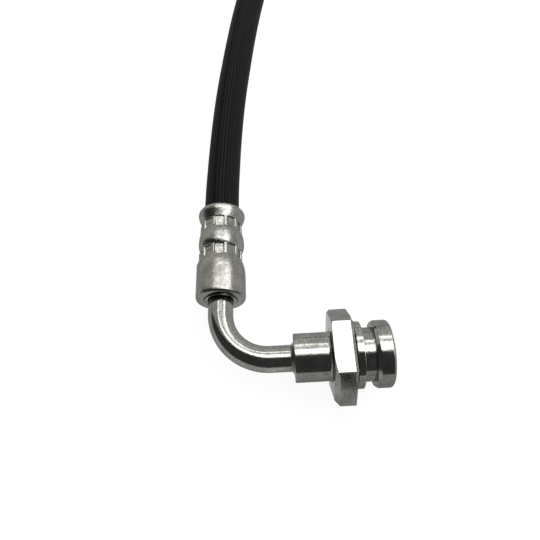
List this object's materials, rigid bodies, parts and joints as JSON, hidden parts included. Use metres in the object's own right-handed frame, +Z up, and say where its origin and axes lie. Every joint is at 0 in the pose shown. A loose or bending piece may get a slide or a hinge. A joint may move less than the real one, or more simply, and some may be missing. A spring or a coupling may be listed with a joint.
{
  "type": "hydraulic hose assembly",
  "caption": "Flexible hydraulic brake hose with crimped ferrules, a bent steel tube ending in a hexagonal female port with a bracket clip groove, and a banjo eye.",
  "frame": {"origin": "middle of the hexagon's lower flat, on the surface that the assembly lies on", "axes": "+X along the female port's axis towards its mouth, +Y along the hose away from the bent tube, +Z up"},
  "size_m": [0.1396, 0.285, 0.022],
  "materials": {
    "turned_steel": "machined and bright zinc plated",
    "plated_steel": "bright zinc plated, drawn",
    "braze": "brazed, plated over",
    "cover_rubber": "matt, finely ribbed",
    "liner_rubber": "smooth",
    "braid": "braided polyester yarn"
  },
  "bodies": {
    "root": {"port_fitting": "turned_steel", "port_braze": "braze", "elbow_tube": "plated_steel", "near_ferrule": "plated_steel", "near_insert": "turned_steel", "tube_braze": "braze", "hose_liner": "liner_rubber", "hose_inner_braid": "braid", "hose_cushion": "liner_rubber", "hose_outer_braid": "braid", "hose_cover": "cover_rubber", "far_ferrule": "plated_steel", "far_insert": "turned_steel", "banjo_braze": "braze", "banjo_eye": "turned_steel"}
  },
  "joints": []
}
